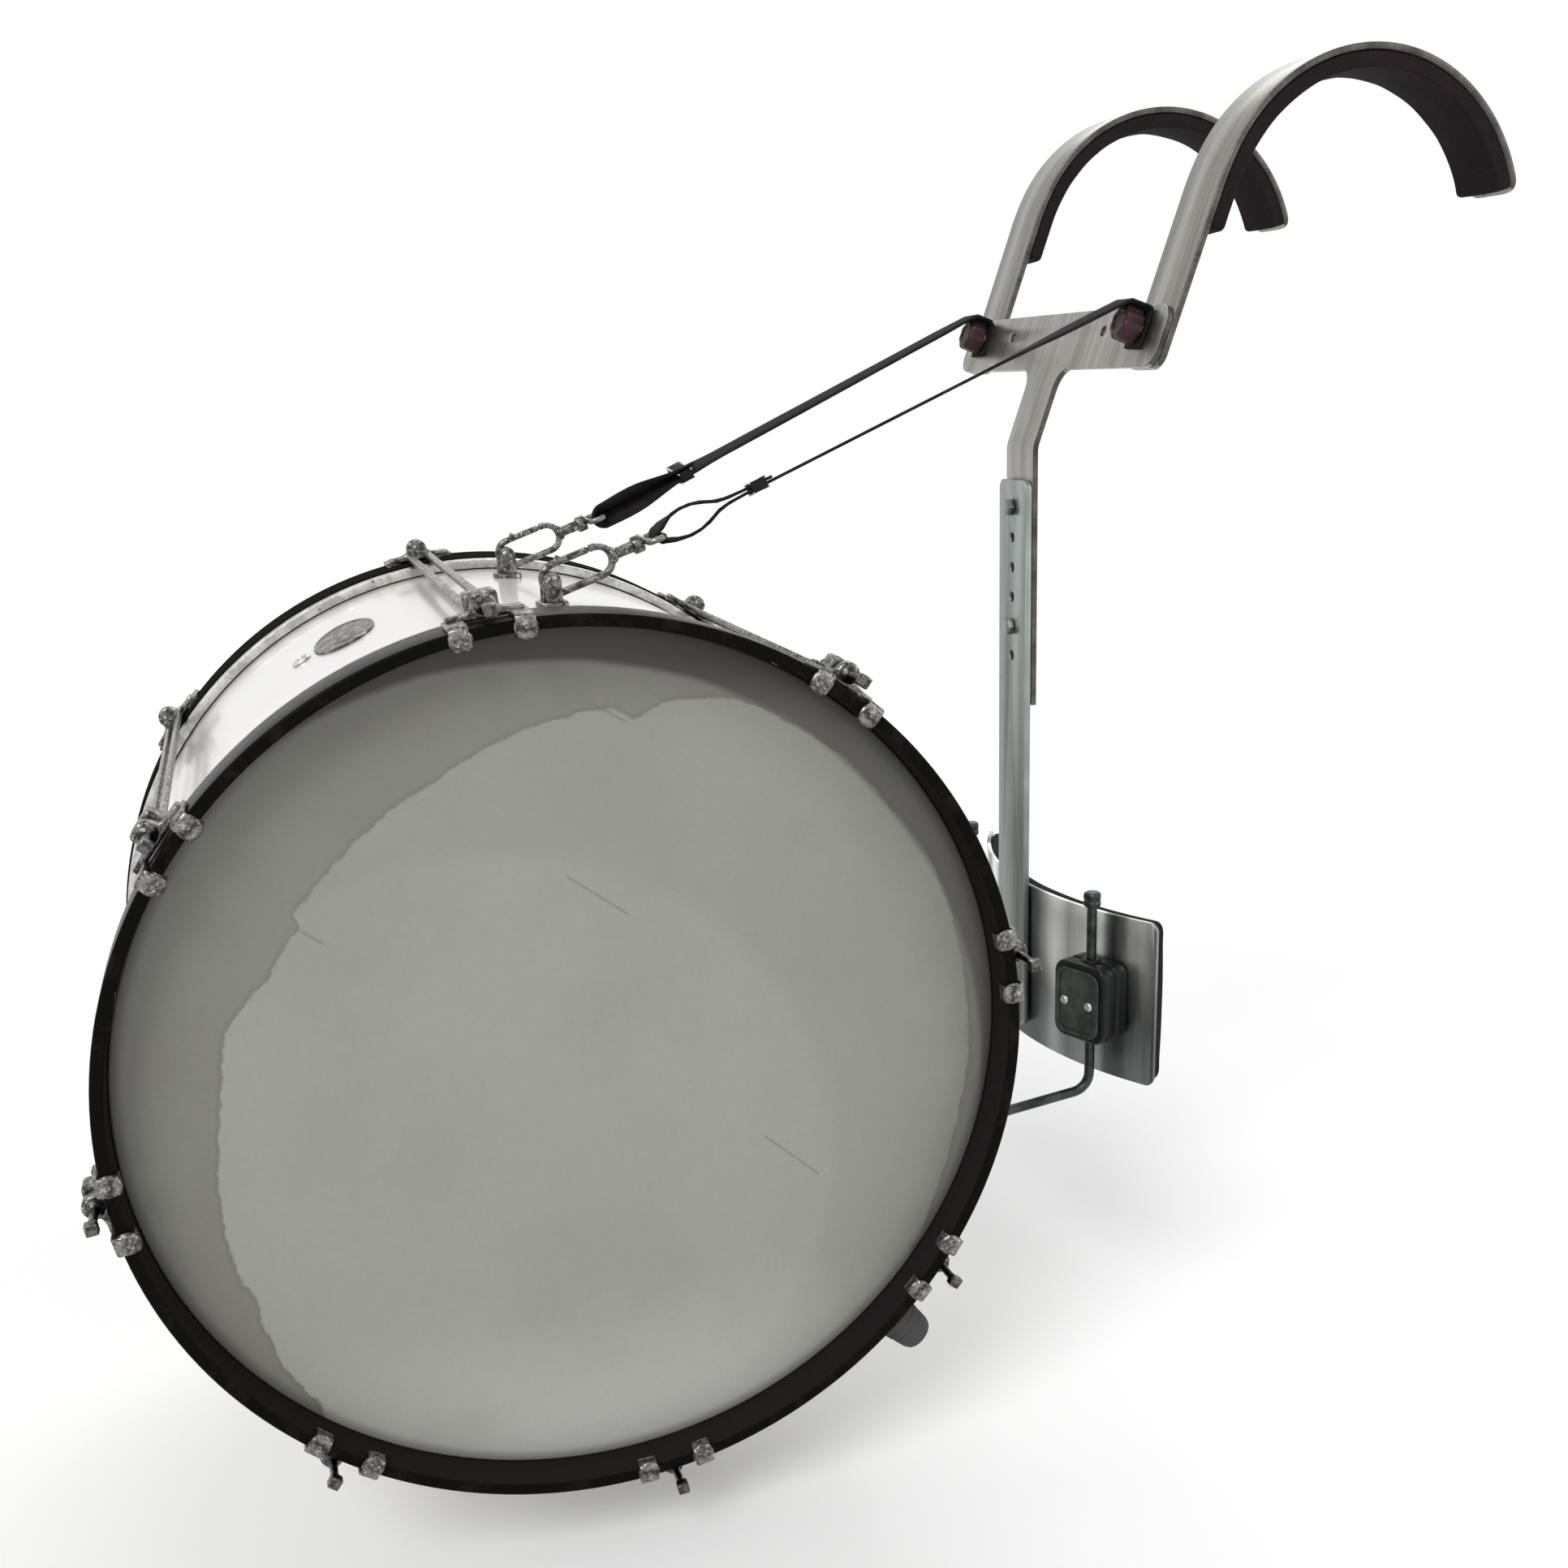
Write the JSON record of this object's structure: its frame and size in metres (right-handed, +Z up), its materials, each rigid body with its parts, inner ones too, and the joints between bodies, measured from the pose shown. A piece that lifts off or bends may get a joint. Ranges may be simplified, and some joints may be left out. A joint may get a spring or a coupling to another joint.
{
  "type": "marching bass drum with carrier",
  "caption": "Marching bass drum with wooden hoops, claw hooks and key screws, hung on a padded aluminium shoulder carrier by J-rods and webbing straps.",
  "frame": {"origin": "middle of the wearer's shoulders, under the crests of the two shoulder pads", "axes": "+X from the drum towards the wearer's back, +Y along the drum's axis from the front head to the back head of the picture, +Z up"},
  "size_m": [0.8894, 0.4037, 0.8278],
  "materials": {
    "shell_paint": "plywood shell in white gloss wrap",
    "head_film": "coated polyester film, faintly mottled",
    "hoop_lacquer": "bent maple in black gloss lacquer",
    "nickel_plate": "nickel-plated die-cast metal and steel",
    "bright_steel": "zinc-plated steel rod and bolts",
    "dark_steel": "dark coated clamp cover",
    "carrier_aluminium": "brushed sheet and bar",
    "black_webbing": "woven polypropylene webbing",
    "black_foam": "closed-cell foam with a fine napped skin",
    "black_rubber": "moulded rubber",
    "knob_plastic": "dark moulded plastic, worn"
  },
  "bodies": {
    "carrier": {"chest_plate": "carrier_aluminium", "lower_bar": "carrier_aluminium", "bar_bolt_1": "bright_steel", "bar_bolt_2": "bright_steel", "belly_plate": "carrier_aluminium", "belly_foam": "black_foam", "shoulder_hook_near": "carrier_aluminium", "shoulder_hook_far": "carrier_aluminium", "shoulder_pad_near": "black_foam", "shoulder_pad_far": "black_foam", "rod_clamp_near": "black_rubber", "rod_clamp_far": "black_rubber", "clamp_cover_near": "dark_steel", "clamp_cover_far": "dark_steel", "strap_near": "black_webbing", "strap_far": "black_webbing"},
    "drum": {"shell": "shell_paint", "head_near": "head_film", "head_far": "head_film", "hoop_near": "hoop_lacquer", "hoop_far": "hoop_lacquer", "claw_1": "nickel_plate", "claw_2": "nickel_plate", "claw_3": "nickel_plate", "claw_4": "nickel_plate", "claw_5": "nickel_plate", "claw_6": "nickel_plate", "claw_7": "nickel_plate", "claw_8": "nickel_plate", "stirrup_1": "nickel_plate", "stirrup_2": "nickel_plate", "stirrup_3": "nickel_plate", "stirrup_4": "nickel_plate", "stirrup_5": "nickel_plate", "stirrup_6": "nickel_plate", "stirrup_7": "nickel_plate", "stirrup_8": "nickel_plate", "badge": "nickel_plate", "vent": "nickel_plate", "bumper": "black_rubber", "strap_bracket_near": "nickel_plate", "strap_bracket_far": "nickel_plate", "snap_hook_near": "nickel_plate", "snap_hook_far": "nickel_plate", "j_rod_near": "bright_steel", "j_rod_far": "bright_steel", "rod_socket_near": "nickel_plate", "rod_socket_far": "nickel_plate"},
    "key_screw_1": {"key_screw_1": "nickel_plate"},
    "key_screw_2": {"key_screw_2": "nickel_plate"},
    "key_screw_3": {"key_screw_3": "nickel_plate"},
    "key_screw_4": {"key_screw_4": "nickel_plate"},
    "key_screw_5": {"key_screw_5": "nickel_plate"},
    "key_screw_6": {"key_screw_6": "nickel_plate"},
    "key_screw_7": {"key_screw_7": "nickel_plate"},
    "key_screw_8": {"key_screw_8": "nickel_plate"},
    "snap_gate_near": {"snap_gate_near": "nickel_plate"},
    "snap_gate_far": {"snap_gate_far": "nickel_plate"},
    "strap_knob_near": {"strap_knob_near": "knob_plastic"},
    "strap_knob_far": {"strap_knob_far": "knob_plastic"}
  },
  "joints": [
    {"name": "drum_lift", "type": "slide", "parent": "carrier", "child": "drum", "axis": [0, 0, 1], "range_m": [-0.033, 0.019], "deforming": ["strap_near", "strap_far"]},
    {"name": "key_screw_1_turn", "type": "hinge", "parent": "drum", "child": "key_screw_1", "pos_m": [-0.24288, -0.1783, -0.5015], "axis": [0, -1, 0], "continuous": true},
    {"name": "key_screw_2_turn", "type": "hinge", "parent": "drum", "child": "key_screw_2", "pos_m": [-0.34729, -0.1783, -0.32282], "axis": [0, -1, 0], "continuous": true},
    {"name": "key_screw_3_turn", "type": "hinge", "parent": "drum", "child": "key_screw_3", "pos_m": [-0.54747, -0.1783, -0.2703], "axis": [0, -1, 0], "continuous": true},
    {"name": "key_screw_4_turn", "type": "hinge", "parent": "drum", "child": "key_screw_4", "pos_m": [-0.72616, -0.1783, -0.37472], "axis": [0, -1, 0], "continuous": true},
    {"name": "key_screw_5_turn", "type": "hinge", "parent": "drum", "child": "key_screw_5", "pos_m": [-0.77867, -0.1783, -0.5749], "axis": [0, -1, 0], "continuous": true},
    {"name": "key_screw_6_turn", "type": "hinge", "parent": "drum", "child": "key_screw_6", "pos_m": [-0.67426, -0.1783, -0.75358], "axis": [0, -1, 0], "continuous": true},
    {"name": "key_screw_7_turn", "type": "hinge", "parent": "drum", "child": "key_screw_7", "pos_m": [-0.47408, -0.1783, -0.8061], "axis": [0, -1, 0], "continuous": true},
    {"name": "key_screw_8_turn", "type": "hinge", "parent": "drum", "child": "key_screw_8", "pos_m": [-0.29539, -0.1783, -0.70168], "axis": [0, -1, 0], "continuous": true},
    {"name": "snap_gate_near_swing", "type": "hinge", "parent": "drum", "child": "snap_gate_near", "pos_m": [-0.47524, -0.088, -0.25379], "axis": [0, -1, 0], "range_deg": [0, 26], "stiffness_Nm_per_rad": 0.1, "springref_deg": -11.46},
    {"name": "snap_gate_far_swing", "type": "hinge", "parent": "drum", "child": "snap_gate_far", "pos_m": [-0.47524, 0.088, -0.25379], "axis": [0, -1, 0], "range_deg": [0, 26], "stiffness_Nm_per_rad": 0.1, "springref_deg": -11.46},
    {"name": "strap_knob_near_turn", "type": "hinge", "parent": "carrier", "child": "strap_knob_near", "pos_m": [-0.13667, -0.117, -0.14066], "axis": [-0.9397, 0, 0.342], "continuous": true},
    {"name": "strap_knob_far_turn", "type": "hinge", "parent": "carrier", "child": "strap_knob_far", "pos_m": [-0.13667, 0.117, -0.14066], "axis": [-0.9397, 0, 0.342], "continuous": true}
  ]
}
